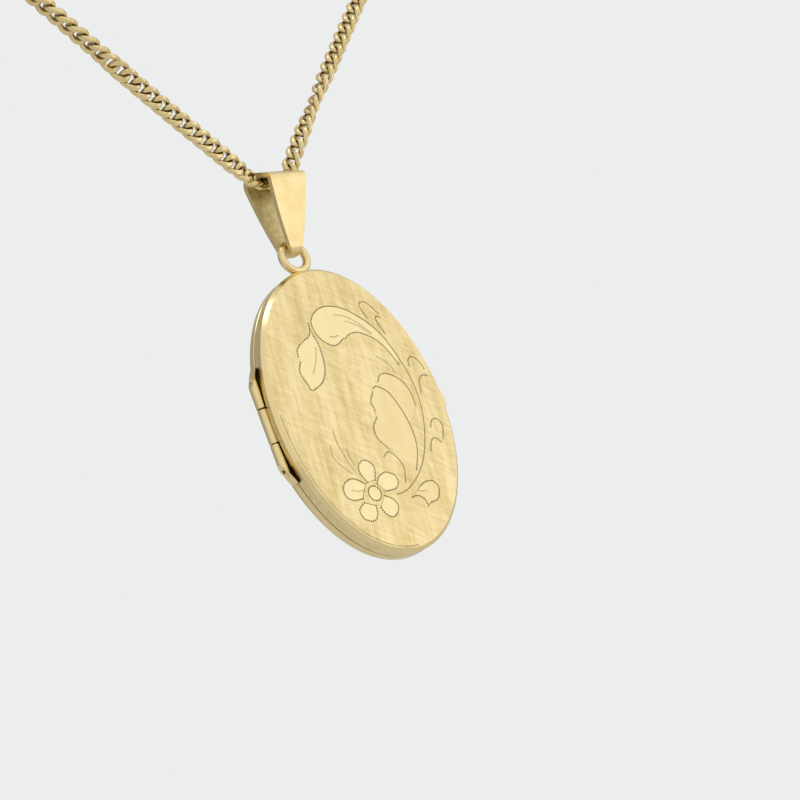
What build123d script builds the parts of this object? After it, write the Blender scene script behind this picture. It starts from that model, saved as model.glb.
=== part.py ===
from build123d import *

import math
import os

# Oval hinged photo locket on a folded bail and a curb chain. Millimetres, +Z up.
# The origin is the chain's axis at its lowest point, inside the bail's fold.
# The engraved front faces -Y, the hinge is on the left (-X) and the thumb catch on the right.
# The locket is built with its front face in the plane y = 0 and its middle at x = z = 0,
# and is then moved down to where it hangs.

# Case: two oval shells that meet at the parting plane.
CASE_HEIGHT = 30.0
CASE_WIDTH = 21.0
PARTING_Y = 1.5
PARTING_GAP = 0.10
CASE_DEPTH = 3.0
SHEET = 0.35
FRONT_BEVEL = 0.35
BACK_EDGE_RADIUS = 1.0
PARTING_BEVEL = 0.06

# Raised inner rims, photo frames, clear windows and photo cards, as insets from the case's edge.
BACK_RIM_INSET = 0.80
FRONT_RIM_INSET = 1.25
RIM_THICK = 0.30
RIM_OVERLAP = 0.20
FIT_GAP = 0.05
FRAME_WIDTH = 1.0
FRAME_DEPTH = 0.45
WINDOW_THICK = 0.15
PHOTO_THICK = 0.20
LAYER_GAP = 0.02
PRISE_NOTCH_RADIUS = 0.45

# Hinge: three knuckles on a pin, along Z.
HINGE_OUTSET = 0.08
BARREL_RADIUS = 0.48
PIN_RADIUS = 0.22
PIN_CLEARANCE = 0.03
KNUCKLE_CLEARANCE = 0.12
MIDDLE_HALF = 1.75
KNUCKLE_GAP = 0.12
BARREL_END = 4.9
LUG_END = 6.0
TAPER_START = 3.8
TAPER_END = 7.2
SEAT_DEPTH = 0.45

# Thumb catch and snap bead on the right.
CATCH_RADIUS = 1.9
CATCH_PROUD = 0.95
CATCH_THICK = 0.42
BEAD_RADIUS = 0.22
BEAD_LENGTH = 2.4

# Suspension ring, in the plane of the case, on the back shell's top edge.
RING_WIRE_RADIUS = 0.41
RING_RADIUS = 1.46
RING_Y = 1.7
RING_LIFT = 0.09
FOOT_WIDTH = 2.0

# Bail: a tapered strip folded over the chain and closed below round the ring. Its long edges
# bulge a little.
BAIL_LEAN = 11.0
BAIL_TOP_WIDTH = 4.7
BAIL_TIP_WIDTH = 1.0
BAIL_TIP_ROUND = 0.42
BAIL_BULGE = 0.24
BAIL_STRIP = 0.5
BAIL_TIP = -6.5
BAIL_EYE_RADIUS = 1.2

# Corners of its fold seen from the side, as (backwards, up) from the chain, and their rounds.
BAIL_FRONT_CORNER = (-2.5, 1.65)
BAIL_CREST = (0.3, 2.5)
BAIL_BACK_CORNER = (2.3, 2.0)
FRONT_CORNER_ROUND = 0.6
CREST_ROUND = 1.6
BACK_CORNER_ROUND = 1.1
RING_IN_BAIL = -5.15

# Chain: its two runs leave the bail upwards. Each point of its route is (right, up, forwards) in
# the leaning frame of the bail: the left run comes forwards and the right run lies further back.
CHAIN_DIAMETER = 1.3
CHAIN_ROUTE = [
    (-28.8, 21.4, 5.1),
    (-15.6, 10.8, 2.8),
    (-2.3, 0.0, 0.0),
    (2.5, 0.0, 0.0),
    (5.1, 5.5, -1.2),
    (13.0, 15.1, -1.2),
    (20.6, 23.9, -1.2),
]
BEND_RADIUS = 2.2

# Bolt ring clasp at the chain's left end.
LINK_RING_RADIUS = 1.1
LINK_WIRE_RADIUS = 0.28
EYELET_RADIUS = 0.85
EYELET_WIRE_RADIUS = 0.26
CLASP_RADIUS = 2.2
CLASP_TUBE_RADIUS = 0.50
CLASP_BORE_RADIUS = 0.34
CLASP_OPENING = 40.0
BOLT_RADIUS = 0.30
BOLT_SOCKET = 6.0
BOLT_TAIL = -75.0
BOLT_TRAVEL = 46.0
TRIGGER_ANGLE = -33.0
TRIGGER_RADIUS = 0.16
TRIGGER_HEIGHT = 1.0
TRIGGER_KNOB = 0.28
SLOT_WIDTH = 0.44
SLOT_END_ROOM = 6.0
SPRING_END = -165.0
SPRING_STOP = 4.0
SPRING_WIRE = 0.08
SPRING_RADIUS = 0.24

# End tag at the chain's right end, whose large hole the clasp closes on.
TAG_LENGTH = 4.8
TAG_WIDTH = 2.6
TAG_THICK = 0.40
TAG_HOLE_RADIUS = 0.85
TAG_LINK_HOLE_RADIUS = 0.50

HALF_WIDTH = CASE_WIDTH / 2
HALF_HEIGHT = CASE_HEIGHT / 2
FRONT_EDGE_Y = PARTING_Y - PARTING_GAP / 2
BACK_EDGE_Y = PARTING_Y + PARTING_GAP / 2
HINGE_X = -HALF_WIDTH - HINGE_OUTSET
RING_Z = HALF_HEIGHT + RING_LIFT + RING_WIRE_RADIUS + RING_RADIUS
EYE_TO_CHAIN = -RING_IN_BAIL
LEAN = math.radians(BAIL_LEAN)

# Where the chain's axis is in the locket's own frame, and so how far the locket moves.
HANG_Y = RING_Y - EYE_TO_CHAIN * math.sin(LEAN)
HANG_Z = RING_Z + RING_RADIUS + EYE_TO_CHAIN * math.cos(LEAN)
LOCKET_PLACE = Location((0, -HANG_Y, -HANG_Z))

# The plane that the bail hangs in, leaning forwards at the top. Its Z faces forwards.
CHAIN_PLANE = Plane((0, 0, 0), x_dir=(1, 0, 0), z_dir=(0, -math.cos(LEAN), -math.sin(LEAN)))
BAIL_PLACE = Location((0, 0, 0), (BAIL_LEAN, 0, 0))


def oval(inset, front, back):
    """A solid oval disc, inset from the case's edge, between two depths."""
    plane = Plane((0, front, 0), x_dir=(1, 0, 0), z_dir=(0, 1, 0))
    outline = plane * Ellipse(HALF_WIDTH - inset, HALF_HEIGHT - inset)
    return extrude(outline, back - front)


def oval_ring(inset, thick, front, back):
    """An oval strip standing on edge."""
    return oval(inset, front, back) - oval(inset + thick, front - 1, back + 1)


def edges_at(solid, depth):
    """The edges of a solid that lie in one plane of constant depth."""
    return solid.edges().filter_by_position(Axis.Y, depth - 0.001, depth + 0.001)


def hinge_cylinder(radius, low, high):
    """A cylinder on the hinge's axis."""
    return Pos(HINGE_X, PARTING_Y, (low + high) / 2) * Cylinder(radius, high - low)


def edge_x(z):
    """How far the case's edge stands from the middle at one height."""
    return HALF_WIDTH * math.sqrt(1 - (z / HALF_HEIGHT) ** 2)


def front_outer():
    """The front shell's outer form, with the polished bevel round its face."""
    body = oval(0, 0, FRONT_EDGE_Y)
    body = chamfer(edges_at(body, 0), FRONT_BEVEL)
    return chamfer(edges_at(body, FRONT_EDGE_Y), PARTING_BEVEL)


def back_outer():
    """The back shell's outer form, with a full round between its wall and its flat back."""
    body = oval(0, BACK_EDGE_Y, CASE_DEPTH)
    body = fillet(edges_at(body, CASE_DEPTH), BACK_EDGE_RADIUS)
    return chamfer(edges_at(body, BACK_EDGE_Y), PARTING_BEVEL)


def front_shell():
    shell = front_outer() - oval(SHEET, SHEET, CASE_DEPTH)
    shell -= hinge_cylinder(BARREL_RADIUS, -MIDDLE_HALF, MIDDLE_HALF)
    swept = BARREL_RADIUS + KNUCKLE_CLEARANCE
    for side in (-1, 1):
        low, high = sorted((side * MIDDLE_HALF, side * BARREL_END))
        shell -= hinge_cylinder(swept, low, high)
    return shell


def back_shell():
    inner_floor = CASE_DEPTH - SHEET
    cavity = oval(SHEET, 0, inner_floor)
    cavity = fillet(edges_at(cavity, inner_floor), BACK_EDGE_RADIUS - SHEET)
    shell = back_outer() - cavity
    middle = MIDDLE_HALF + KNUCKLE_GAP
    shell -= hinge_cylinder(BARREL_RADIUS + KNUCKLE_CLEARANCE, -middle, middle)
    for side in (-1, 1):
        low, high = sorted((side * middle, side * BARREL_END))
        shell -= hinge_cylinder(BARREL_RADIUS, low, high)
    return shell


def upper_knuckle():
    """An outer knuckle: a barrel that swells into a lug and is filed down to the case's edge."""
    low = MIDDLE_HALF + KNUCKLE_GAP
    lug_radius = -HINGE_X - edge_x(LUG_END) - KNUCKLE_CLEARANCE
    barrel = hinge_cylinder(BARREL_RADIUS, low, BARREL_END)
    cone = Cone(BARREL_RADIUS, lug_radius, LUG_END - BARREL_END)
    lug = Pos(HINGE_X, PARTING_Y, (BARREL_END + LUG_END) / 2) * cone
    inner_x = -edge_x(LUG_END) + SHEET
    seat_back = PARTING_Y + SEAT_DEPTH
    seat = Box(inner_x - HINGE_X, seat_back - BACK_EDGE_Y, LUG_END - low)
    seat_place = ((inner_x + HINGE_X) / 2, (BACK_EDGE_Y + seat_back) / 2, (low + LUG_END) / 2)
    seat = Pos(*seat_place) * seat
    half_depth = BARREL_RADIUS + FIT_GAP
    left = HINGE_X - half_depth
    filed = Polyline(
        (left, low),
        (left, TAPER_START),
        (-edge_x(TAPER_END), TAPER_END),
        (inner_x, TAPER_END),
        (inner_x, low),
        close=True,
    )
    plane = Plane((0, PARTING_Y + half_depth, 0), x_dir=(1, 0, 0), z_dir=(0, -1, 0))
    envelope = extrude(plane * make_face(filed), 2 * half_depth)
    knuckle = (barrel + lug + seat) & envelope
    knuckle -= oval(0, BACK_EDGE_Y, CASE_DEPTH)
    return knuckle - hinge_cylinder(PIN_RADIUS, 0, LUG_END)


def middle_knuckle():
    barrel = hinge_cylinder(BARREL_RADIUS, -MIDDLE_HALF, MIDDLE_HALF)
    barrel = chamfer(barrel.edges().filter_by(GeomType.CIRCLE), PARTING_BEVEL)
    return barrel - hinge_cylinder(PIN_RADIUS + PIN_CLEARANCE, -LUG_END, LUG_END)


def hinge_pin():
    """The pin, filed off just inside the tapered ends of the outer knuckles."""
    share = BARREL_RADIUS / (-edge_x(TAPER_END) - HINGE_X + BARREL_RADIUS)
    half = TAPER_START + share * (TAPER_END - TAPER_START) - PIN_RADIUS
    return hinge_cylinder(PIN_RADIUS, -half, half)


def back_rim():
    rim = oval_ring(BACK_RIM_INSET, RIM_THICK, PARTING_Y - RIM_OVERLAP, CASE_DEPTH - SHEET)
    inner_floor = CASE_DEPTH - SHEET
    cavity = oval(SHEET, 0, inner_floor)
    return rim & fillet(edges_at(cavity, inner_floor), BACK_EDGE_RADIUS - SHEET)


def front_rim():
    return oval_ring(FRONT_RIM_INSET, RIM_THICK, SHEET, PARTING_Y - RIM_OVERLAP)


def photo_frame(rim_inset, front):
    """The loose inner frame, with rounded edges and a notch to prise it out by."""
    inset = rim_inset + RIM_THICK + FIT_GAP
    frame = oval_ring(inset, FRAME_WIDTH, front, front + FRAME_DEPTH)
    notch_z = -(HALF_HEIGHT - inset)
    notch = Pos(0, front + FRAME_DEPTH / 2, notch_z) * Rot(90, 0, 0)
    return frame - notch * Cylinder(PRISE_NOTCH_RADIUS, 2 * FRAME_DEPTH)


def filling(rim_inset, front, thick):
    """An oval sheet that fills a rim, such as a window or a photo card."""
    return oval(rim_inset + RIM_THICK + 2 * FIT_GAP, front, front + thick)


def thumb_catch():
    """A half-moon lip under the front shell's edge."""
    front = FRONT_EDGE_Y - PARTING_BEVEL - CATCH_THICK
    centre_x = HALF_WIDTH + CATCH_PROUD - CATCH_RADIUS
    disc = Cylinder(CATCH_RADIUS, CATCH_THICK)
    disc = fillet(disc.edges().filter_by(GeomType.CIRCLE), CATCH_THICK / 3)
    lip = Pos(centre_x, front + CATCH_THICK / 2, 0) * Rot(90, 0, 0) * disc
    return lip - oval(0, -1, CASE_DEPTH)


def snap_bead():
    """A short half-round bead on the back rim, that the front shell snaps over."""
    x = HALF_WIDTH - BACK_RIM_INSET
    bead = Pos(x, FRONT_EDGE_Y - BEAD_RADIUS / 2, 0) * Cylinder(BEAD_RADIUS, BEAD_LENGTH)
    bead = fillet(bead.edges().filter_by(GeomType.CIRCLE), BEAD_RADIUS / 2)
    return bead - oval(BACK_RIM_INSET, 0, CASE_DEPTH)


def suspension_ring():
    return Pos(0, RING_Y, RING_Z) * Rot(90, 0, 0) * Torus(RING_RADIUS, RING_WIRE_RADIUS)


def ring_foot():
    """The solder seat that joins the ring to the back shell's top edge."""
    front = BACK_EDGE_Y + PARTING_BEVEL
    back = RING_Y + RING_WIRE_RADIUS
    top = HALF_HEIGHT + 2 * RING_LIFT + RING_WIRE_RADIUS / 2
    block = Box(FOOT_WIDTH, back - front, RING_WIRE_RADIUS * 2)
    block = Pos(0, (front + back) / 2, top - RING_WIRE_RADIUS) * block
    block = fillet(block.edges().filter_by(Axis.Y), RING_WIRE_RADIUS / 2)
    return block - suspension_ring() - back_outer() - oval(0, 0, PARTING_Y + BARREL_RADIUS)


def eye_touch(corner, eye_centre, side):
    """Where the straight leaf from a corner of the fold meets the round of the bail's eye."""
    out, up = side * corner[0], corner[1] - eye_centre
    turn = math.atan2(up, out) - math.acos(BAIL_EYE_RADIUS / math.hypot(out, up))
    return side * BAIL_EYE_RADIUS * math.cos(turn), eye_centre + BAIL_EYE_RADIUS * math.sin(turn)


def bail_side():
    """The bail's loop seen from the side: wide over the chain, narrow round the ring."""
    eye_centre = BAIL_TIP + BAIL_EYE_RADIUS
    leaves = make_face(
        Polyline(
            BAIL_FRONT_CORNER,
            BAIL_CREST,
            BAIL_BACK_CORNER,
            eye_touch(BAIL_BACK_CORNER, eye_centre, 1),
            eye_touch(BAIL_FRONT_CORNER, eye_centre, -1),
            close=True,
        )
    )
    outer = leaves + Pos(0, eye_centre) * Circle(BAIL_EYE_RADIUS)
    rounds = (
        (BAIL_FRONT_CORNER, FRONT_CORNER_ROUND),
        (BAIL_BACK_CORNER, BACK_CORNER_ROUND),
        (BAIL_CREST, CREST_ROUND),
    )
    for corner, radius in rounds:
        nearest = outer.vertices().sort_by_distance(corner)[0]
        outer = fillet(nearest, radius)
    return outer - offset(outer, -BAIL_STRIP)


def bail():
    side_plane = Plane((-BAIL_TOP_WIDTH / 2, 0, 0), x_dir=(0, 1, 0), z_dir=(1, 0, 0))
    loop = extrude(side_plane * bail_side(), BAIL_TOP_WIDTH)
    top, tip, crest = BAIL_TOP_WIDTH / 2, BAIL_TIP_WIDTH / 2, BAIL_CREST[1]
    middle, half_way = (top + tip) / 2 + BAIL_BULGE, (crest + BAIL_TIP) / 2
    taper = make_face(
        [
            Line((-top, crest), (top, crest)),
            ThreePointArc((top, crest), (middle, half_way), (tip, BAIL_TIP)),
            Line((tip, BAIL_TIP), (-tip, BAIL_TIP)),
            ThreePointArc((-tip, BAIL_TIP), (-middle, half_way), (-top, crest)),
        ]
    )
    taper = fillet(taper.vertices().sort_by(Axis.Y)[:2], BAIL_TIP_ROUND)
    reach = BAIL_BACK_CORNER[0] - BAIL_FRONT_CORNER[0]
    front_plane = Plane((0, reach, 0), x_dir=(1, 0, 0), z_dir=(0, -1, 0))
    return loop & extrude(front_plane * taper, 2 * reach)


def chain_route():
    """The points that the chain's axis turns at, from the clasp to the tag."""
    return [CHAIN_PLANE.from_local_coords(point) for point in CHAIN_ROUTE]


def chain():
    """A plain tube along the chain's route: straight runs joined by tangent arcs."""
    route = chain_route()
    corners = list(zip(route, route[1:], route[2:]))
    radii = []
    for before, corner, after in corners:
        turn = math.radians((corner - before).get_angle(after - corner))
        shorter = min((corner - before).length, (after - corner).length)
        in_bail = abs(corner.Z) < CHAIN_DIAMETER
        radii.append(BEND_RADIUS if in_bail else 0.45 * shorter / math.tan(turn / 2))
    print("chain arc radii", [round(radius, 1) for radius in radii])
    path = FilletPolyline(*route, radius=radii)
    section = Plane(origin=path @ 0, z_dir=path % 0) * Circle(CHAIN_DIAMETER / 2)
    tube = sweep(section, path=path)
    expected = math.pi * (CHAIN_DIAMETER / 2) ** 2 * path.length
    print("chain length", round(path.length, 2), "volume ratio", round(tube.volume / expected, 4))
    return tube


def chain_end(end, neighbour):
    """A frame at one end of the chain: X runs on along the chain, Y lies in the bail's plane."""
    onward = (end - neighbour).normalized()
    sideways = CHAIN_PLANE.z_dir.cross(onward).normalized()
    return Plane(end, x_dir=onward, z_dir=onward.cross(sideways))


def clasp_arc(face_radius, start, end, inner_radius=0):
    """A curved bar or tube round the clasp's middle, between two angles."""
    section = Circle(face_radius)
    if inner_radius:
        section -= Circle(inner_radius)
    plane = Plane((CLASP_RADIUS, 0, 0), x_dir=(1, 0, 0), z_dir=(0, -1, 0))
    swept = revolve(plane * section, Axis.Z, end - start)
    return Rot(0, 0, start) * swept


def clasp_middle():
    """How far the clasp's middle stands beyond the chain's end."""
    eyelet_near = 2 * LINK_RING_RADIUS - LINK_WIRE_RADIUS - EYELET_WIRE_RADIUS - FIT_GAP
    return eyelet_near + 2 * EYELET_RADIUS + CLASP_RADIUS + CLASP_TUBE_RADIUS


def link_ring(radius, wire):
    """A ring through the chain's last link, square to the chain's plane."""
    return Pos(radius, 0, 0) * Rot(90, 0, 0) * Torus(radius, wire)


def clasp_body():
    half_opening = CLASP_OPENING / 2
    tube = clasp_arc(CLASP_TUBE_RADIUS, half_opening, 360 - half_opening, CLASP_BORE_RADIUS)
    slot_start = TRIGGER_ANGLE - BOLT_TRAVEL - SLOT_END_ROOM
    slot_end = TRIGGER_ANGLE + SLOT_END_ROOM
    reach = CLASP_TUBE_RADIUS * 2
    plane = Plane((CLASP_RADIUS, 0, 0), x_dir=(1, 0, 0), z_dir=(0, -1, 0))
    mouth = Pos(reach / 2, 0) * Rectangle(reach, SLOT_WIDTH)
    opening = revolve(plane * mouth, Axis.Z, slot_end - slot_start)
    tube -= Rot(0, 0, slot_start) * opening
    stop = clasp_arc(CLASP_BORE_RADIUS, SPRING_END - SPRING_STOP, SPRING_END)
    return Pos(clasp_middle(), 0, 0) * (tube + stop)


def clasp_bolt():
    tip = CLASP_OPENING / 2 + BOLT_SOCKET
    bar = clasp_arc(BOLT_RADIUS, BOLT_TAIL, tip)
    turn = Rot(0, 0, TRIGGER_ANGLE)
    stem = turn * Pos(CLASP_RADIUS + TRIGGER_HEIGHT / 2, 0, 0) * Rot(0, 90, 0)
    knob = turn * Pos(CLASP_RADIUS + TRIGGER_HEIGHT, 0, 0) * Sphere(TRIGGER_KNOB)
    bolt = bar + stem * Cylinder(TRIGGER_RADIUS, TRIGGER_HEIGHT) + knob
    return Pos(clasp_middle(), 0, 0) * bolt


def clasp_spring():
    """The coil that pushes the bolt shut, as a plain sleeve of its outer size."""
    outer = SPRING_RADIUS + SPRING_WIRE / 2
    inner = SPRING_RADIUS - SPRING_WIRE / 2
    return Pos(clasp_middle(), 0, 0) * clasp_arc(outer, SPRING_END, BOLT_TAIL, inner)


def clasp_eyelet():
    centre = clasp_middle() - CLASP_RADIUS - CLASP_TUBE_RADIUS - EYELET_RADIUS
    eyelet = Pos(centre, 0, 0) * Torus(EYELET_RADIUS, EYELET_WIRE_RADIUS)
    return eyelet - Pos(clasp_middle(), 0, 0) * Torus(CLASP_RADIUS, CLASP_TUBE_RADIUS)


def end_tag():
    """A flat oval tag with a small hole for its ring and a large one for the clasp."""
    link_hole = 2 * LINK_RING_RADIUS
    near = link_hole - TAG_LINK_HOLE_RADIUS - SHEET
    middle = near + TAG_LENGTH / 2
    plate = extrude(SlotOverall(TAG_LENGTH, TAG_WIDTH), TAG_THICK / 2, both=True)
    plate = Pos(middle, 0, 0) * plate
    plate = chamfer(plate.edges().filter_by(GeomType.LINE), PARTING_BEVEL)
    clasp_hole = near + TAG_LENGTH - TAG_WIDTH / 2
    plate -= Pos(link_hole, 0, 0) * Cylinder(TAG_LINK_HOLE_RADIUS, TAG_THICK * 2)
    return plate - Pos(clasp_hole, 0, 0) * Cylinder(TAG_HOLE_RADIUS, TAG_THICK * 2)


def build():
    """Every piece by name, where it lies at rest."""
    back_frame_y = PARTING_Y + PARTING_GAP
    back_window_y = back_frame_y + FRAME_DEPTH + LAYER_GAP
    back_photo_y = back_window_y + WINDOW_THICK + LAYER_GAP
    front_photo_y = SHEET + LAYER_GAP
    front_window_y = front_photo_y + PHOTO_THICK + LAYER_GAP
    front_frame_y = front_window_y + WINDOW_THICK + LAYER_GAP
    locket = {
        "front_shell": front_shell(),
        "front_inner_rim": front_rim(),
        "front_photo_frame": photo_frame(FRONT_RIM_INSET, front_frame_y),
        "front_window": filling(FRONT_RIM_INSET, front_window_y, WINDOW_THICK),
        "front_photo_card": filling(FRONT_RIM_INSET, front_photo_y, PHOTO_THICK),
        "hinge_knuckle_middle": middle_knuckle(),
        "thumb_catch": thumb_catch(),
        "back_shell": back_shell(),
        "back_inner_rim": back_rim(),
        "back_photo_frame": photo_frame(BACK_RIM_INSET, back_frame_y),
        "back_window": filling(BACK_RIM_INSET, back_window_y, WINDOW_THICK),
        "back_photo_card": filling(BACK_RIM_INSET, back_photo_y, PHOTO_THICK),
        "hinge_knuckle_top": upper_knuckle(),
        "hinge_knuckle_bottom": mirror(upper_knuckle(), about=Plane.XY),
        "hinge_pin": hinge_pin(),
        "snap_bead": snap_bead(),
        "suspension_ring": suspension_ring(),
        "ring_foot": ring_foot(),
    }
    pieces = {name: LOCKET_PLACE * piece for name, piece in locket.items()}
    pieces["bail"] = BAIL_PLACE * bail()
    pieces["chain"] = chain()

    route = chain_route()
    clasp_frame = chain_end(route[0], route[1]).location
    tag_frame = chain_end(route[-1], route[-2]).location
    pieces["clasp_jump_ring"] = clasp_frame * link_ring(LINK_RING_RADIUS, LINK_WIRE_RADIUS)
    pieces["clasp_eyelet"] = clasp_frame * clasp_eyelet()
    pieces["clasp_body"] = clasp_frame * clasp_body()
    pieces["clasp_bolt"] = clasp_frame * clasp_bolt()
    pieces["clasp_spring"] = clasp_frame * clasp_spring()
    pieces["tag_jump_ring"] = tag_frame * link_ring(LINK_RING_RADIUS, LINK_WIRE_RADIUS)
    pieces["end_tag"] = tag_frame * end_tag()
    return pieces


os.makedirs("parts", exist_ok=True)
for node, piece in build().items():
    export_step(piece, f"parts/{node}.step")
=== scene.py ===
import math

import bmesh
import bpy
from mathutils import Matrix, Vector
from mathutils.geometry import delaunay_2d_cdt


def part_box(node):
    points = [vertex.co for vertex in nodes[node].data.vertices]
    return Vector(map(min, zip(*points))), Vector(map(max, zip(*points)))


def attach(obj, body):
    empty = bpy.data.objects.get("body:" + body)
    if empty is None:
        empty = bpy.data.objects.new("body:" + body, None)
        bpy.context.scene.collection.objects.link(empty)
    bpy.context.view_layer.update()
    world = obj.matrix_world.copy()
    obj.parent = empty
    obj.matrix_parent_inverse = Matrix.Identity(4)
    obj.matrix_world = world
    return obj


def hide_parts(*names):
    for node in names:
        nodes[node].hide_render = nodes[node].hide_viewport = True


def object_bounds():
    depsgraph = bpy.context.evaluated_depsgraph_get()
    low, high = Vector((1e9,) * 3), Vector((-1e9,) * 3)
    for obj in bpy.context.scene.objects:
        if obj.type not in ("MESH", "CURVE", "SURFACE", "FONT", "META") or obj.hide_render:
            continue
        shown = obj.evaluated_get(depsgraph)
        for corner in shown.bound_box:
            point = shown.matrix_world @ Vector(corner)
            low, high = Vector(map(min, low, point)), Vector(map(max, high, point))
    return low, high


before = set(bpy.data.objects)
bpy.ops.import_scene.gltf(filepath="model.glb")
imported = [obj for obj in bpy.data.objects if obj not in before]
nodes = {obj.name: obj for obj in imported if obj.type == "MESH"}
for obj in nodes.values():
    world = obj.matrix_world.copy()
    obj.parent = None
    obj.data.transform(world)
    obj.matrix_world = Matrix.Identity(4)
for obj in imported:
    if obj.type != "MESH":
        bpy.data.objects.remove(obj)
cad_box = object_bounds()

MM = 0.001

# The case's face, as the frame gives it: its middle, its half sizes and the plane that it lies in.
SHELL_LOW, SHELL_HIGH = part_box("front_shell")
FACE_MIDDLE = Vector((0, SHELL_LOW.y, (SHELL_LOW.z + SHELL_HIGH.z) / 2))
HALF_WIDTH = (SHELL_HIGH.x - SHELL_LOW.x) / 2
HALF_HEIGHT = (SHELL_HIGH.z - SHELL_LOW.z) / 2


# ---------------------------------------------------------------- camera

VIEW_AZIMUTH = math.radians(-42.0)
VIEW_ELEVATION = math.radians(-13.7)
VIEW_ROLL = math.radians(21.1)
VIEW_LENS = 100
VIEW_DISTANCE = 214.1 * MM
VIEW_AIM_RIGHT = 3.57 * MM
VIEW_AIM_UP = 0.67 * MM


def make_camera():
    """Looks up at the locket from its left, tilted, from the photograph's viewing angle."""
    level = math.cos(VIEW_ELEVATION)
    to_camera = Vector((
        math.sin(VIEW_AZIMUTH) * level,
        -math.cos(VIEW_AZIMUTH) * level,
        math.sin(VIEW_ELEVATION),
    ))
    level_right = to_camera.cross(Vector((0, 0, -1))).normalized()
    level_up = to_camera.cross(level_right)
    right = level_right * math.cos(VIEW_ROLL) - level_up * math.sin(VIEW_ROLL)
    up = level_right * math.sin(VIEW_ROLL) + level_up * math.cos(VIEW_ROLL)
    place = FACE_MIDDLE + to_camera * VIEW_DISTANCE + right * VIEW_AIM_RIGHT + up * VIEW_AIM_UP
    data = bpy.data.cameras.new("camera")
    data.lens = VIEW_LENS
    data.clip_start = VIEW_DISTANCE / 100
    camera = bpy.data.objects.new("camera", data)
    camera.matrix_world = Matrix.Translation(place) @ Matrix((right, up, to_camera)).transposed().to_4x4()
    bpy.context.scene.collection.objects.link(camera)
    bpy.context.scene.camera = camera


# ---------------------------------------------------------------- chain

# The route from the clasp to the tag, in millimetres. Beside the bail's fold it has a point more on
# each run than the CAD tube, and it lies higher in the fold, as a chain that carries the bail.
CHAIN_ROUTE = (
    (-28.800, -9.090, 20.034),
    (-15.600, -4.809, 10.067),
    (-5.000, -1.450, 2.750),
    (-2.700, -0.400, 1.550),
    (0.300, 0.180, 1.150),
    (2.600, 0.950, 1.400),
    (3.500, 1.150, 2.970),
    (5.100, 0.128, 5.628),
    (13.000, -1.703, 15.051),
    (20.600, -3.382, 23.690),
)
ROUTE_ORDER = 3
ROUTE_STEPS = 24

# The bail leans forwards at rest, and its front leaf faces this way.
BAIL_LEAN = math.radians(11)
BAIL_FRONT = Vector((0, -math.cos(BAIL_LEAN), -math.sin(BAIL_LEAN)))

# A curb link: its width, its wire, the distance to the next link, how far its twist lifts the wire,
# and half the thickness that it is filed to. The nudge is a small turn that gives the wire's direction.
CHAIN_WIDTH = 1.9 * MM
LINK_WIRE = 0.56 * MM
LINK_PITCH = 1.42 * MM
LINK_LIFT = 0.31 * MM
LINK_FLAT = 0.47 * MM
LINK_STEPS = 36
LINK_NUDGE = 0.01
WIRE_STEPS = 12

# How the chain twists along its run: a share of its length, and its turn in degrees from lying in
# the plane of the bail's front leaf.
CHAIN_TWISTS = (
    (0.0, 84), (0.175, 82), (0.24, 22), (0.43, 15), (0.5, -30), (0.55, -72),
    (0.6, -65), (0.65, -60), (0.73, -97), (0.8, -60), (1.0, -60),
)


def chain_line():
    """The route as a smooth NURBS spline, and the fine points along it."""
    curve = bpy.data.curves.new("chain_route", "CURVE")
    curve.dimensions = "3D"
    spline = curve.splines.new("NURBS")
    spline.points.add(len(CHAIN_ROUTE) - 1)
    for point, place in zip(spline.points, CHAIN_ROUTE):
        point.co = (*(Vector(place) * MM), 1)
    spline.order_u = ROUTE_ORDER
    spline.use_endpoint_u = True
    spline.resolution_u = ROUTE_STEPS
    route = bpy.data.objects.new("chain_route", curve)
    bpy.context.scene.collection.objects.link(route)
    mesh = bpy.data.meshes.new_from_object(route)
    line = [vertex.co.copy() for vertex in mesh.vertices]
    bpy.data.meshes.remove(mesh)
    bpy.data.objects.remove(route)
    return line


def along(line, lengths, distance):
    """The place and direction at a distance along a line of points."""
    for index, length in enumerate(lengths):
        if distance <= length or index == len(lengths) - 1:
            step = line[index + 1] - line[index]
            return line[index] + step * (distance / length), step.normalized()
        distance -= length


def twist_at(share):
    """The chain's turn at a share of its length."""
    for (start, before), (end, after) in zip(CHAIN_TWISTS, CHAIN_TWISTS[1:]):
        if share <= end:
            part = (share - start) / (end - start)
            ease = part * part * (3 - 2 * part)
            return math.radians(before + (after - before) * ease)
    return math.radians(CHAIN_TWISTS[-1][1])


def add_link(bm, place, onward, sideways, outward):
    """One curb link: a bent oval of round wire, filed flat on both faces."""
    reach = (LINK_PITCH + LINK_WIRE) / 2
    half = (CHAIN_WIDTH - LINK_WIRE) / 2

    def centre(turn):
        flat = onward * (reach * math.cos(turn)) + sideways * (half * math.sin(turn))
        return flat + outward * (LINK_LIFT * math.sin(2 * turn))

    rings = []
    for step in range(LINK_STEPS):
        turn = 2 * math.pi * step / LINK_STEPS
        middle = centre(turn)
        direction = (centre(turn + LINK_NUDGE) - centre(turn - LINK_NUDGE)).normalized()
        first = direction.cross(outward).normalized()
        second = direction.cross(first)
        ring = []
        for side in range(WIRE_STEPS):
            angle = 2 * math.pi * side / WIRE_STEPS
            point = middle + (first * math.cos(angle) + second * math.sin(angle)) * LINK_WIRE / 2
            height = point.dot(outward)
            point += outward * (max(-LINK_FLAT, min(LINK_FLAT, height)) - height)
            ring.append(bm.verts.new(place + point))
        rings.append(ring)
    for ring, following in zip(rings, rings[1:] + rings[:1]):
        for side in range(WIRE_STEPS):
            other = (side + 1) % WIRE_STEPS
            bm.faces.new((ring[side], ring[other], following[other], following[side]))


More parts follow.
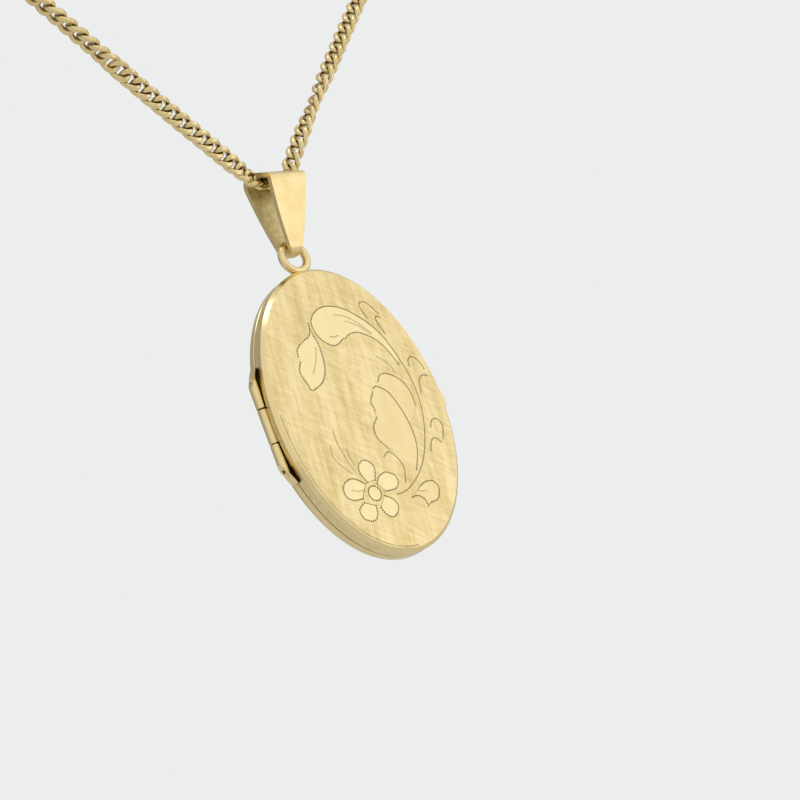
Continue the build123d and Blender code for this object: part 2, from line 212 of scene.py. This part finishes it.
def make_chain():
    """A curb chain of separate links along the route."""
    line = chain_line()
    lengths = [(after - before).length for before, after in zip(line, line[1:])]
    total = sum(lengths)
    count = round(total / LINK_PITCH)
    bm = bmesh.new()
    for index in range(count):
        share = (index + 0.5) / count
        place, onward = along(line, lengths, share * total)
        across = onward.cross(BAIL_FRONT).normalized()
        outward = across.cross(onward)
        turned = Matrix.Rotation(twist_at(share), 3, onward)
        add_link(bm, place, onward, turned @ across, turned @ outward)
    bmesh.ops.recalc_face_normals(bm, faces=bm.faces)
    chain = new_piece("curb_chain", bm, "gold", "chain", CHAIN_GOLD)
    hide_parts("chain")


# ---------------------------------------------------------------- meshes

SHARP_ANGLE = math.radians(28)


def smooth(mesh):
    """Smooth shading that keeps real edges sharp."""
    mesh.polygons.foreach_set("use_smooth", [True] * len(mesh.polygons))
    mesh.set_sharp_from_angle(angle=SHARP_ANGLE)


def new_piece(name, bm, slot, body, *materials):
    """Turns a bmesh into an object that rides on a body."""
    mesh = bpy.data.meshes.new(name)
    bm.to_mesh(mesh)
    bm.free()
    if "custom_normal" in mesh.attributes:
        mesh.attributes.remove(mesh.attributes["custom_normal"])
    for material in materials:
        mesh.materials.append(material)
    smooth(mesh)
    piece = bpy.data.objects.new(name, mesh)
    bpy.context.scene.collection.objects.link(piece)
    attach(piece, body)
    return piece


# ---------------------------------------------------------------- materials

GOLD_LIGHT = (0.90, 0.74, 0.40)
GOLD_DEEP = (0.80, 0.62, 0.29)
# Near-black gold, painted as shade in recesses and in the engraved dots' pits.
PAINTED_SHADE_GOLD = (0.16, 0.115, 0.045)
# Mottled olive, painted as shade inside the bail's fold.
FOLD_SHADE_LIGHT = (0.98, 0.88, 0.52)
FOLD_SHADE_DEEP = (0.68, 0.56, 0.27)

# The painted shade in a recess is darkest where this share of its surroundings is open, and gone at the
# larger share.
RECESS_CLOSED = 0.15
RECESS_OPEN = 0.75

# The same for the painted olive shade inside the bail's fold, and how far off a surface still closes it in.
FOLD_CLOSED = 0.45
FOLD_OPEN = 0.85
FOLD_REACH = 6 * MM

# The sockets of a Mix node that mixes colours.
COLOUR_A = 6
COLOUR_B = 7
COLOUR_RESULT = 2


def new_material(name):
    """A new material, its node tree and its shader."""
    material = bpy.data.materials.new(name)
    material.use_nodes = True
    return material, material.node_tree, material.node_tree.nodes["Principled BSDF"]


def add_node(tree, kind, **settings):
    """A shader node with its sockets and properties set by name."""
    node = tree.nodes.new(kind)
    for name, value in settings.items():
        if name in node.inputs.keys():
            node.inputs[name].default_value = value
        else:
            setattr(node, name, value)
    return node


def stretched_noise(tree, turn, across, lengthways, detail=2.0):
    """Noise drawn out into brush lines in the face's plane. The scales are waves per millimetre."""
    place = add_node(tree, "ShaderNodeTexCoord")
    mapping = add_node(tree, "ShaderNodeMapping", Rotation=(0, math.radians(turn), 0))
    tree.links.new(place.outputs["Object"], mapping.inputs["Vector"])
    scale = add_node(tree, "ShaderNodeVectorMath", operation="MULTIPLY")
    scale.inputs[1].default_value = (across / MM, across / MM, lengthways / MM)
    tree.links.new(mapping.outputs["Vector"], scale.inputs[0])
    noise = add_node(tree, "ShaderNodeTexNoise", Scale=1.0, Detail=detail, Roughness=0.6)
    tree.links.new(scale.outputs["Vector"], noise.inputs["Vector"])
    return noise.outputs["Fac"]


def even_noise(tree, waves, detail=3.0):
    """Plain noise, in waves per millimetre."""
    place = add_node(tree, "ShaderNodeTexCoord")
    noise = add_node(tree, "ShaderNodeTexNoise", Scale=waves / MM, Detail=detail, Roughness=0.55)
    tree.links.new(place.outputs["Object"], noise.inputs["Vector"])
    return noise.outputs["Fac"]


def between(tree, factor, low, high, start=0.3, end=0.7):
    """A number that runs from low to high as a factor runs from start to end."""
    spread = add_node(tree, "ShaderNodeMapRange")
    spread.inputs["From Min"].default_value = start
    spread.inputs["From Max"].default_value = end
    spread.inputs["To Min"].default_value = low
    spread.inputs["To Max"].default_value = high
    tree.links.new(factor, spread.inputs["Value"])
    return spread.outputs["Result"]


def blend_colours(tree, factor, first, second, start=0.3, end=0.7):
    """A colour between two, as a factor runs from start to end."""
    ramp = add_node(tree, "ShaderNodeValToRGB")
    ramp.color_ramp.elements[0].position = start
    ramp.color_ramp.elements[0].color = (*first, 1)
    ramp.color_ramp.elements[1].position = end
    ramp.color_ramp.elements[1].color = (*second, 1)
    tree.links.new(factor, ramp.inputs["Fac"])
    return ramp.outputs["Color"]


def add_bumps(tree, shader, *layers):
    """Stacks bumps on a shader. Each layer is a height, its depth in millimetres and its strength."""
    normal = None
    for height, depth, strength in layers:
        bump = add_node(tree, "ShaderNodeBump", Strength=strength, Distance=depth * MM)
        tree.links.new(height, bump.inputs["Height"])
        if normal:
            tree.links.new(normal, bump.inputs["Normal"])
        normal = bump.outputs["Normal"]
    tree.links.new(normal, shader.inputs["Normal"])


def paint_recess_shade(tree, colour, reach):
    """Paints shade into a colour: darkens it where other surfaces close it in, within a reach in
    millimetres.
    """
    shade = add_node(tree, "ShaderNodeAmbientOcclusion", Distance=reach * MM, samples=8)
    mix = add_node(tree, "ShaderNodeMix", data_type="RGBA")
    unshaded = between(tree, shade.outputs["AO"], 0.0, 1.0, RECESS_CLOSED, RECESS_OPEN)
    tree.links.new(unshaded, mix.inputs["Factor"])
    mix.inputs[COLOUR_A].default_value = (*PAINTED_SHADE_GOLD, 1)
    tree.links.new(colour, mix.inputs[COLOUR_B])
    return mix.outputs[COLOUR_RESULT]


def polished_gold(name, light, deep, rough, wear, recess=0.5):
    """Bright gold with faint wear, stains in its colour and scuffs in its gloss, and painted shade in its
    recesses.
    """
    material, tree, shader = new_material(name)
    shader.inputs["Metallic"].default_value = 1.0
    stain = even_noise(tree, waves=0.5)
    scuff = even_noise(tree, waves=3.0, detail=5.0)
    # Painted shade darkens the colour where the surface is closed in.
    colour = paint_recess_shade(tree, blend_colours(tree, stain, deep, light), recess)
    tree.links.new(colour, shader.inputs["Base Color"])
    tree.links.new(between(tree, scuff, rough, rough + wear), shader.inputs["Roughness"])
    ripple = even_noise(tree, waves=1.1, detail=1.0)
    add_bumps(tree, shader, (ripple, 0.02, 0.25), (scuff, 0.004, 0.3))
    return material


def fold_shaded_gold(name):
    """The bail's gold: bright outside, and a mottled olive painted shade inside its fold."""
    material, tree, shader = new_material(name)
    shader.inputs["Metallic"].default_value = 1.0
    stain = even_noise(tree, waves=0.5)
    mottle = even_noise(tree, waves=2.4, detail=4.0)
    fold_shade = blend_colours(tree, mottle, FOLD_SHADE_DEEP, FOLD_SHADE_LIGHT)
    # Painted shade: olive where the fold closes the bail in, gold where it is open.
    mix = add_node(tree, "ShaderNodeMix", data_type="RGBA")
    shade = add_node(tree, "ShaderNodeAmbientOcclusion", Distance=FOLD_REACH, samples=12)
    outside = between(tree, shade.outputs["AO"], 0.0, 1.0, FOLD_CLOSED, FOLD_OPEN)
    tree.links.new(outside, mix.inputs["Factor"])
    tree.links.new(fold_shade, mix.inputs[COLOUR_A])
    tree.links.new(blend_colours(tree, stain, GOLD_DEEP, GOLD_LIGHT), mix.inputs[COLOUR_B])
    tree.links.new(mix.outputs[COLOUR_RESULT], shader.inputs["Base Color"])
    gloss = between(tree, outside, low=0.55, high=0.22, start=0.0, end=1.0)
    tree.links.new(gloss, shader.inputs["Roughness"])
    add_bumps(tree, shader, (mottle, 0.012, 0.3))
    return material


def brushed_gold(name, light, deep, rough, depth, main_turn=-6, cross_turn=58):
    """Gold with the fine crossed lines of a satin finish. The turns are in degrees."""
    material, tree, shader = new_material(name)
    shader.inputs["Metallic"].default_value = 1.0
    lines = stretched_noise(tree, main_turn, across=2.3, lengthways=0.2)
    crossed = stretched_noise(tree, cross_turn, across=2.8, lengthways=0.45)
    drift = stretched_noise(tree, main_turn, across=0.7, lengthways=0.16, detail=3.0)
    mixed = add_node(tree, "ShaderNodeMix", data_type="FLOAT")
    mixed.inputs["Factor"].default_value = 0.5
    tree.links.new(lines, mixed.inputs["A"])
    tree.links.new(crossed, mixed.inputs["B"])
    tone = add_node(tree, "ShaderNodeMix", data_type="FLOAT")
    tone.inputs["Factor"].default_value = 0.45
    tree.links.new(mixed.outputs["Result"], tone.inputs["A"])
    tree.links.new(drift, tone.inputs["B"])
    colour = blend_colours(tree, tone.outputs["Result"], deep, light, start=0.36, end=0.60)
    # Painted shade darkens the colour where the surface is closed in.
    tree.links.new(paint_recess_shade(tree, colour, reach=0.5), shader.inputs["Base Color"])
    tree.links.new(between(tree, drift, rough, rough + 0.12), shader.inputs["Roughness"])
    add_bumps(tree, shader, (lines, depth, 0.5), (crossed, depth, 0.3))
    return material


def clear_film():
    """The thin clear window over a photo."""
    material, tree, shader = new_material("clear_film")
    shader.inputs["Base Color"].default_value = (0.97, 0.98, 0.97, 1)
    shader.inputs["Transmission Weight"].default_value = 0.92
    shader.inputs["IOR"].default_value = 1.49
    haze = even_noise(tree, waves=1.5)
    tree.links.new(between(tree, haze, 0.03, 0.12), shader.inputs["Roughness"])
    return material


def photo_paper():
    """A blank card of matt photo paper."""
    material, tree, shader = new_material("photo_paper")
    fibre = even_noise(tree, waves=9.0, detail=4.0)
    colour = blend_colours(tree, fibre, (0.84, 0.80, 0.71), (0.90, 0.87, 0.80))
    tree.links.new(colour, shader.inputs["Base Color"])
    shader.inputs["Roughness"].default_value = 0.7
    add_bumps(tree, shader, (fibre, 0.01, 0.3))
    return material


def spring_wire():
    """Blued steel of the clasp's coil."""
    material, tree, shader = new_material("spring_wire")
    shader.inputs["Metallic"].default_value = 1.0
    tint = even_noise(tree, waves=2.0)
    colour = blend_colours(tree, tint, (0.42, 0.42, 0.44), (0.58, 0.57, 0.55))
    tree.links.new(colour, shader.inputs["Base Color"])
    tree.links.new(between(tree, tint, 0.22, 0.34), shader.inputs["Roughness"])
    return material


POLISHED = polished_gold("polished_gold", GOLD_LIGHT, (0.86, 0.69, 0.35), rough=0.14, wear=0.08)
# The chain's painted shade reaches further, into the gaps between its links.
CHAIN_GOLD = polished_gold("chain_gold", GOLD_LIGHT, GOLD_DEEP, rough=0.12, wear=0.08, recess=0.8)
BAIL_GOLD = fold_shaded_gold("bail_gold")
FACE_GOLD = brushed_gold("face_gold", (0.95, 0.79, 0.44), (0.69, 0.53, 0.23), rough=0.34, depth=0.016)
LEAF_GOLD = brushed_gold("leaf_gold", (0.95, 0.80, 0.46), (0.89, 0.73, 0.39), rough=0.30, depth=0.004)
INNER_GOLD = brushed_gold("inner_gold", (0.92, 0.76, 0.42), (0.83, 0.66, 0.33), rough=0.32, depth=0.008)
WALL_GOLD = brushed_gold(
    "wall_gold", GOLD_LIGHT, (0.76, 0.61, 0.30), rough=0.24, depth=0.003, main_turn=90, cross_turn=80
)
# The dots' pits get near-black gold as painted shade, on top of their real depth.
PIT_SHADE_GOLD = polished_gold("pit_shade_gold", PAINTED_SHADE_GOLD, PAINTED_SHADE_GOLD, rough=0.30, wear=0.10)
FILM = clear_film()
PAPER = photo_paper()
SPRING = spring_wire()


# ---------------------------------------------------------------- engraved front

# The engraving on the face, in millimetres from its middle: X to the right, Z up.
STEM = (
    (0.7, 7.2), (-0.7, 6.6), (-2.1, 7.6), (-2.4, 9.3), (-1.2, 10.5), (0.6, 10.75), (2.8, 9.9), (5.3, 7.5),
    (6.6, 4.5), (7.2, 1.5), (6.9, -1.7), (5.6, -5.0), (3.8, -7.4), (1.6, -8.9), (0.1, -9.2),
)
LEAF_UNDERSIDE = ((1.0, 7.2), (1.7, 7.6), (3.0, 7.6), (4.7, 6.6), (5.7, 5.2), (6.3, 3.7))
DROOPING_LEAF = (
    ((-2.8, 9.2), (-2.9, 8.5), (-3.3, 7.9), (-3.9, 7.6)),
    ((-4.8, 7.1), (-5.3, 6.6), (-5.4, 6.0)),
    ((-5.4, 5.4), (-5.9, 4.4), (-5.6, 3.3), (-5.4, 2.5)),
    ((-5.1, 2.4), (-3.7, 3.1), (-2.8, 4.5), (-2.5, 6.6), (-2.7, 7.8)),
)
SCROLLS = (
    ((4.6, 9.1), (4.2, 10.3), (4.5, 10.8), (5.3, 10.6), (6.2, 9.4)),
    ((6.1, 7.2), (5.6, 8.7), (5.8, 9.1), (6.2, 9.0)),
    ((7.6, 3.5), (7.7, 4.1), (8.3, 4.4), (9.0, 3.8), (9.3, 3.0)),
    ((7.8, 0.6), (8.1, 1.8), (8.7, 2.3), (9.3, 2.2)),
    ((7.3, -3.1), (7.7, -2.5), (8.4, -2.4), (8.8, -3.2), (8.3, -4.5)),
    ((6.2, -5.5), (6.6, -4.7), (7.2, -4.3), (7.9, -4.8)),
)
UPPER_LEAF = ((2.9, 2.3), (3.4, 2.9), (4.3, 3.0), (5.7, 2.2), (6.4, 0.8), (6.4, -0.7))
MIDDLE_LEAF = ((2.0, 1.7), (2.6, 1.8), (3.7, 1.0), (4.4, -0.7), (4.8, -2.6), (4.6, -5.0), (3.5, -7.2))
MIDDLE_SCALLOPS = (
    ((1.7, 1.2), (1.1, 0.4), (1.2, -0.5)),
    ((1.1, -1.3), (0.3, -2.2), (0.2, -3.2), (0.5, -3.8)),
)
LOWER_LEAF = ((0.2, -5.3), (0.9, -4.9), (1.6, -5.5), (2.1, -6.7), (1.6, -8.2))
BUD = (
    ((3.3, -8.8), (4.1, -8.5), (5.0, -8.6), (5.4, -9.4), (4.8, -10.4), (3.9, -10.6)),
    ((1.7, -9.8), (2.4, -9.7), (3.1, -10.1), (3.3, -10.9)),
)

# How many of the stem's points draw the leaf head, and how many of the middle leaf's points lie
# along the upper leaf.
LEAF_HEAD_POINTS = 9
UPPER_LEAF_POINTS = 5

# Each petal is two strokes, from its foot to its pointed tip and back.
PETALS = (
    (
        ((-2.9, -7.5), (-3.35, -6.5), (-3.2, -5.7), (-2.6, -5.3)),
        ((-2.6, -5.3), (-1.95, -5.45), (-1.45, -6.2), (-1.9, -7.4)),
    ),
    (
        ((-1.8, -7.8), (-1.3, -7.15), (-0.3, -6.85), (0.65, -7.3)),
        ((0.65, -7.3), (0.75, -8.0), (0.2, -8.6), (-1.1, -8.7)),
    ),
    (
        ((-1.5, -9.1), (-0.6, -9.6), (-0.3, -10.4), (-0.7, -11.0)),
        ((-0.7, -11.0), (-1.35, -11.3), (-2.0, -10.95), (-2.4, -10.2)),
    ),
    (
        ((-2.9, -9.9), (-3.05, -10.7), (-3.5, -11.25), (-4.1, -11.3)),
        ((-4.1, -11.3), (-4.8, -10.9), (-4.95, -10.0), (-4.1, -9.4)),
    ),
    (
        ((-4.1, -9.0), (-5.2, -9.0), (-5.9, -8.5), (-5.95, -7.75)),
        ((-5.95, -7.75), (-5.5, -7.15), (-4.4, -6.9), (-3.2, -7.6)),
    ),
)
FLOWER_MIDDLE = (-2.5, -8.7)
FLOWER_EYE_RADIUS = 0.75
FLOWER_EYE_SIDES = 24
FINE_LINES = (
    ((0.7, 9.8), (1.9, 9.5), (3.0, 8.8), (4.4, 7.4)),
    ((1.8, 9.0), (3.2, 8.3), (4.2, 7.3)),
    ((-0.8, 7.6), (-0.3, 7.5), (0.2, 7.6)),
    ((-3.0, 6.6), (-3.6, 5.3), (-4.4, 4.1)),
    ((3.9, 4.9), (5.0, 4.0), (5.6, 2.8)),
    ((-4.6, -1.8), (-4.7, -3.2), (-4.0, -6.1)),
    ((-5.6, -3.3), (-5.7, -4.7), (-4.3, -6.4)),
    ((-3.9, -3.9), (-3.9, -4.7), (-3.6, -5.6)),
    ((-5.0, -8.0), (-4.3, -8.2), (-3.7, -8.2)),
    ((2.8, -9.3), (3.7, -9.4)),
)

# The three kinds of dot, in millimetres: large ones in rows, closer ones in lines, and fine ones.
DOT_PITCH = 0.26
DOT_RADIUS = 0.095
DOT_DEPTH = 0.07
LINE_PITCH = 0.20
LINE_RADIUS = 0.08
LINE_DEPTH = 0.05
FINE_PITCH = 0.15
FINE_RADIUS = 0.055
FINE_DEPTH = 0.025
DOT_SIDES = 8
CURVE_STEPS = 12

# Shares of a dot's radius: how far its pit reaches, and how far the painted shade in it does.
PIT_REACH = 0.98
PIT_SHADE_REACH = 0.95

# The face is filled with an even grid of points. They keep clear of the rim by a share of the oval,
# and of each dot by a number of its radii.
FACE_GRID = 0.55
GRID_RIM_GAP = 0.03
GRID_DOT_GAP = 1.6
FACE_CROWN = 0.10

# The bevel ends and the wall begins this far behind the face. A surface whose normal leans back by
# more than this is the shell's inside or its back edge.
BEVEL_DEPTH = 0.5 * MM
INSIDE_LEAN = 0.5

# The face's triangles: only those inside its outline, with points this near each other, in
# millimetres, made one. The tolerance is for the CAD mesh's own points.
INSIDE_OUTLINE = 1
SAME_POINT = 0.0005
TOLERANCE = 0.001 * MM

# The front's finishes, in the order of its material slots.
FRONT_FINISHES = (POLISHED, FACE_GOLD, LEAF_GOLD, WALL_GOLD, PIT_SHADE_GOLD, INNER_GOLD)
BEVEL, GROUND, LEAF, WALL, PIT_SHADE, INNER_LEAF = range(len(FRONT_FINISHES))

# A fine border line just inside the face's edge, from the left round to the bottom, in degrees.
BORDER_INSET = 0.55
BORDER_START = 178
BORDER_END = 272
BORDER_STEP = 2


def flowing(points):
    """Fine points along a smooth curve through a few."""
    last = len(points) - 1
    fine = []
    for index in range(last):
        near = [Vector(points[min(max(index + shift, 0), last)]) for shift in (-1, 0, 1, 2)]
        for step in range(CURVE_STEPS):
            t = step / CURVE_STEPS
            pull = (near[2] - near[0]) * t
            bend = (near[0] * 2 - near[1] * 5 + near[2] * 4 - near[3]) * t * t
            swing = (near[3] - near[0] + (near[1] - near[2]) * 3) * t ** 3
            fine.append(near[1] + (pull + bend + swing) / 2)
    fine.append(Vector(points[-1]))
    return fine


def spaced(fine, pitch):
    """Points at an even pitch along a fine line."""
    lengths = [(after - before).length for before, after in zip(fine, fine[1:])]
    total = sum(lengths)
    count = max(1, round(total / pitch))
    return [along(fine, lengths, total * index / count)[0] for index in range(count + 1)]


def circle(middle, radius, sides):
    """Points round a circle."""
    across, up = middle
    turns = [2 * math.pi * side / sides for side in range(sides)]
    return [Vector((across + radius * math.cos(turn), up + radius * math.sin(turn))) for turn in turns]


def inside(point, outline):
    """Whether a point lies inside a closed outline."""
    crossings = 0
    for first, second in zip(outline, outline[1:] + outline[:1]):
        if (first.y > point.y) != (second.y > point.y):
            share = (point.y - first.y) / (second.y - first.y)
            crossings += point.x < first.x + (second.x - first.x) * share
    return crossings % 2 == 1


def border_line():
    """Points along the border line, on an oval inside the face's edge."""
    across, high = HALF_WIDTH / MM - BORDER_INSET, HALF_HEIGHT / MM - BORDER_INSET
    turns = [math.radians(turn) for turn in range(BORDER_START, BORDER_END + 1, BORDER_STEP)]
    return [Vector((across * math.cos(turn), high * math.sin(turn))) for turn in turns]


def leaf_outlines():
    """The closed smooth areas: the brightest ones, and the half-bright inner leaves."""
    head = flowing(STEM[:LEAF_HEAD_POINTS]) + flowing(LEAF_UNDERSIDE)[::-1]
    drooping = sum((flowing(stroke) for stroke in DROOPING_LEAF), [])
    middle = flowing(MIDDLE_LEAF) + sum((flowing(stroke)[::-1] for stroke in MIDDLE_SCALLOPS[::-1]), [])
    upper = flowing(UPPER_LEAF) + flowing(MIDDLE_LEAF[:UPPER_LEAF_POINTS])[::-1]
    bud = flowing(BUD[0]) + flowing(BUD[1][::-1])
    petals = [flowing(outward) + flowing(inward)[1:] for outward, inward in PETALS]
    bright = [head, drooping, *petals, circle(FLOWER_MIDDLE, FLOWER_EYE_RADIUS, FLOWER_EYE_SIDES)]
    return bright, [middle, upper, bud]


def engraved_dots():
    """Every struck dot as its middle, radius and depth. A dot that would land on another is left out."""
    eye = circle(FLOWER_MIDDLE, FLOWER_EYE_RADIUS, FLOWER_EYE_SIDES)
    petals = [stroke for petal in PETALS for stroke in petal]
    dotted = [flowing(row) for row in (*DROOPING_LEAF, *SCROLLS, *MIDDLE_SCALLOPS, *BUD, *petals)]
    drawn = [flowing(row) for row in (STEM, LEAF_UNDERSIDE, UPPER_LEAF, MIDDLE_LEAF, LOWER_LEAF)]
    faint = [flowing(row) for row in FINE_LINES] + [border_line()]
    kinds = (
        (dotted + [eye + eye[:1]], DOT_PITCH, DOT_RADIUS, DOT_DEPTH),
        (drawn, LINE_PITCH, LINE_RADIUS, LINE_DEPTH),
        (faint, FINE_PITCH, FINE_RADIUS, FINE_DEPTH),
    )
    struck = [
        (point, radius, depth)
        for rows, pitch, radius, depth in kinds for row in rows for point in spaced(row, pitch)
    ]
    kept = []
    for point, radius, depth in struck:
        if all((point - other).length > radius + reach for other, reach, _ in kept):
            kept.append((point, radius, depth))
    return kept


def crown_height(point):
    """How far the face stands proud at a point, by its slight crown."""
    out = (point.x * MM / HALF_WIDTH) ** 2 + (point.y * MM / HALF_HEIGHT) ** 2
    return FACE_CROWN * max(0.0, 1 - out)


def struck(height, point, dots):
    """The height of the face at a point, less the pits of the dots that it lies in."""
    for middle, radius, depth in dots:
        reach = (point - middle).length
        if reach < radius * PIT_REACH:
            height -= depth * (1 - reach / radius)
    return height


def shell_without_face():
    """The CAD front shell with its flat face taken off, and the rim that is left, in order."""
    bm = bmesh.new()
    bm.from_mesh(nodes["front_shell"].data)
    bmesh.ops.remove_doubles(bm, verts=bm.verts, dist=TOLERANCE)
    flat = [
        face for face in bm.faces
        if all(abs(vertex.co.y - FACE_MIDDLE.y) < TOLERANCE for vertex in face.verts)
    ]
    bmesh.ops.delete(bm, geom=flat, context="FACES")
    rim = {vertex for edge in bm.edges if edge.is_boundary for vertex in edge.verts}
    return bm, sorted(rim, key=lambda vertex: math.atan2(vertex.co.z - FACE_MIDDLE.z, vertex.co.x))


def closed_loop(start, count):
    """The edges of a closed loop of points, by their numbers."""
    return [(start + index, start + (index + 1) % count) for index in range(count)]


def fill_points(dots):
    """Staggered rows of points over the face, clear of its rim and of the dots."""
    columns = int(HALF_WIDTH / MM / FACE_GRID)
    rows = int(HALF_HEIGHT / MM / FACE_GRID)
    limit = 1 - FACE_GRID / (HALF_WIDTH / MM) - GRID_RIM_GAP
    points = []
    for column in range(-columns, columns + 1):
        for row in range(-rows, rows + 1):
            point = Vector((column + 0.5 * (row % 2), row)) * FACE_GRID
            if math.hypot(point.x * MM / HALF_WIDTH, point.y * MM / HALF_HEIGHT) > limit:
                continue
            if all((point - middle).length > radius * GRID_DOT_GAP for middle, radius, _ in dots):
                points.append(point)
    return points


def face_plan(outline, dots, leaves):
    """The points and edges that divide the face: its rim, the dots, the leaves and the fill."""
    points = list(outline)
    edges = closed_loop(0, len(outline))
    for middle, radius, _ in dots:
        points.append(middle)
        points += circle(middle, radius, DOT_SIDES)
    for leaf in leaves:
        edges += closed_loop(len(points), len(leaf))
        points += leaf
    return points + fill_points(dots), edges


def shell_finish(face):
    """The finish of the shell beside its face: a polished bevel, and a brushed wall and inside."""
    if face.calc_center_median().y > FACE_MIDDLE.y + BEVEL_DEPTH or face.normal.y > INSIDE_LEAN:
        return WALL
    return BEVEL


def face_finish(point, dots, bright, half_bright):
    """The finish of the face at a point."""
    # Inside a dot's pit the face gets painted shade.
    if any((point - middle).length < radius * PIT_SHADE_REACH for middle, radius, _ in dots):
        return PIT_SHADE
    if any(inside(point, leaf) for leaf in bright):
        return LEAF
    if any(inside(point, leaf) for leaf in half_bright):
        return INNER_LEAF
    return GROUND


def make_front():
    """The engraved front shell: the CAD shell with its flat face made again, crowned and struck."""
    dots = engraved_dots()
    bright, half_bright = leaf_outlines()
    bm, rim = shell_without_face()
    for face in bm.faces:
        face.material_index = shell_finish(face)

    outline = [
        Vector(((vertex.co.x - FACE_MIDDLE.x) / MM, (vertex.co.z - FACE_MIDDLE.z) / MM)) for vertex in rim
    ]
    points, edges = face_plan(outline, dots, bright + half_bright)
    divided = delaunay_2d_cdt(points, edges, [], INSIDE_OUTLINE, SAME_POINT)
    flat_points, _, triangles, origins, _, _ = divided
    rim_height = crown_height(outline[0])
    made = []
    for point, sources in zip(flat_points, origins):
        on_rim = [source for source in sources if source < len(rim)]
        if on_rim:
            made.append(rim[on_rim[0]])
            continue
        height = struck(crown_height(point) - rim_height, point, dots)
        place = (point.x * MM, FACE_MIDDLE.y - height * MM, FACE_MIDDLE.z + point.y * MM)
        made.append(bm.verts.new(place))
    for corners in triangles:
        middle = sum((flat_points[corner] for corner in corners), Vector((0, 0))) / 3
        face = bm.faces.new([made[corner] for corner in corners])
        face.material_index = face_finish(middle, dots, bright, half_bright)
    bmesh.ops.recalc_face_normals(bm, faces=bm.faces)
    front = new_piece("engraved_front_shell", bm, "gold", "front_cover", *FRONT_FINISHES)
    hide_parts("front_shell")


# ---------------------------------------------------------------- CAD pieces' finishes

# The pieces that aren't of polished gold.
FINISHES = {
    "bail": BAIL_GOLD,
    "back_window": FILM,
    "front_window": FILM,
    "back_photo_card": PAPER,
    "front_photo_card": PAPER,
    "clasp_spring": SPRING,
}


def dress_nodes():
    """Gives every CAD piece its finish."""
    for name, node in nodes.items():
        node.data.materials.clear()
        node.data.materials.append(FINISHES.get(name, POLISHED))


# ---------------------------------------------------------------- light and floor

FLOOR_DROP = 60 * MM
FLOOR_SIZE = 1600 * MM
PALE = (0.84, 0.855, 0.85)

# The way from the locket to the studio's bright front, and the studio's strengths there and behind.
STUDIO_FRONT = Vector((0.12, -0.97, 0.20)).normalized()
STRENGTH_IN_FRONT = 0.85
STRENGTH_BEHIND = 0.38

# Each softbox: its name, its direction from the case, its distance and width in metres, and its watts.
SOFTBOXES = (
    ("key_box", (0.65, -0.72, 0.28), 0.5, 0.36, 0.09),
    ("low_box", (0.65, -0.72, -0.30), 0.2, 0.12, 0.025),
    ("top_box", (-0.2, -0.3, 0.95), 0.5, 0.12, 0.10),
)


def make_floor():
    """A plain pale floor below the hanging locket."""
    bm = bmesh.new()
    bmesh.ops.create_grid(bm, x_segments=1, y_segments=1, size=FLOOR_SIZE / 2)
    mesh = bpy.data.meshes.new("floor")
    bm.to_mesh(mesh)
    bm.free()
    material, tree, shader = new_material("pale_floor")
    grain = even_noise(tree, waves=0.05)
    colour = blend_colours(tree, grain, (0.87, 0.88, 0.88), (0.89, 0.90, 0.90))
    tree.links.new(colour, shader.inputs["Base Color"])
    shader.inputs["Roughness"].default_value = 0.8
    mesh.materials.append(material)
    floor = bpy.data.objects.new("floor", mesh)
    floor.location.z = cad_box[0].z - FLOOR_DROP
    bpy.context.scene.collection.objects.link(floor)


def make_world():
    """A pale studio: even where the camera sees it, and brighter in front than behind for the gold."""
    world = bpy.data.worlds.new("studio")
    bpy.context.scene.world = world
    world.use_nodes = True
    tree = world.node_tree
    tree.nodes.clear()
    place = add_node(tree, "ShaderNodeTexCoord")
    lean = add_node(tree, "ShaderNodeVectorMath", operation="DOT_PRODUCT")
    lean.inputs[1].default_value = STUDIO_FRONT
    tree.links.new(place.outputs["Generated"], lean.inputs[0])
    spread = between(tree, lean.outputs["Value"], STRENGTH_BEHIND, STRENGTH_IN_FRONT, start=-0.75, end=0.55)
    studio = add_node(tree, "ShaderNodeBackground", Color=(1.0, 0.99, 0.97, 1))
    tree.links.new(spread, studio.inputs["Strength"])
    seen = add_node(tree, "ShaderNodeBackground", Color=(*PALE, 1), Strength=1.0)
    rays = add_node(tree, "ShaderNodeLightPath")
    choice = add_node(tree, "ShaderNodeMixShader")
    sources = (rays.outputs["Is Camera Ray"], studio.outputs["Background"], seen.outputs["Background"])
    for source, socket in zip(sources, choice.inputs):
        tree.links.new(source, socket)
    output = add_node(tree, "ShaderNodeOutputWorld")
    tree.links.new(choice.outputs["Shader"], output.inputs["Surface"])


def add_softbox(name, direction, distance, size, power):
    """A square area light aimed at the case."""
    data = bpy.data.lights.new(name, "AREA")
    data.shape = "SQUARE"
    data.size = size
    data.energy = power
    light = bpy.data.objects.new(name, data)
    light.location = FACE_MIDDLE + Vector(direction).normalized() * distance
    light.rotation_mode = "QUATERNION"
    light.rotation_quaternion = Vector(direction).to_track_quat("Z", "Y")
    light.visible_camera = False
    bpy.context.scene.collection.objects.link(light)


def make_lights():
    """A large key box in front on the right, one below it for the bail, and a small one overhead."""
    for softbox in SOFTBOXES:
        add_softbox(*softbox)


bpy.context.scene.view_settings.view_transform = "Standard"

make_camera()
make_chain()
make_front()
dress_nodes()
make_floor()
make_world()
make_lights()
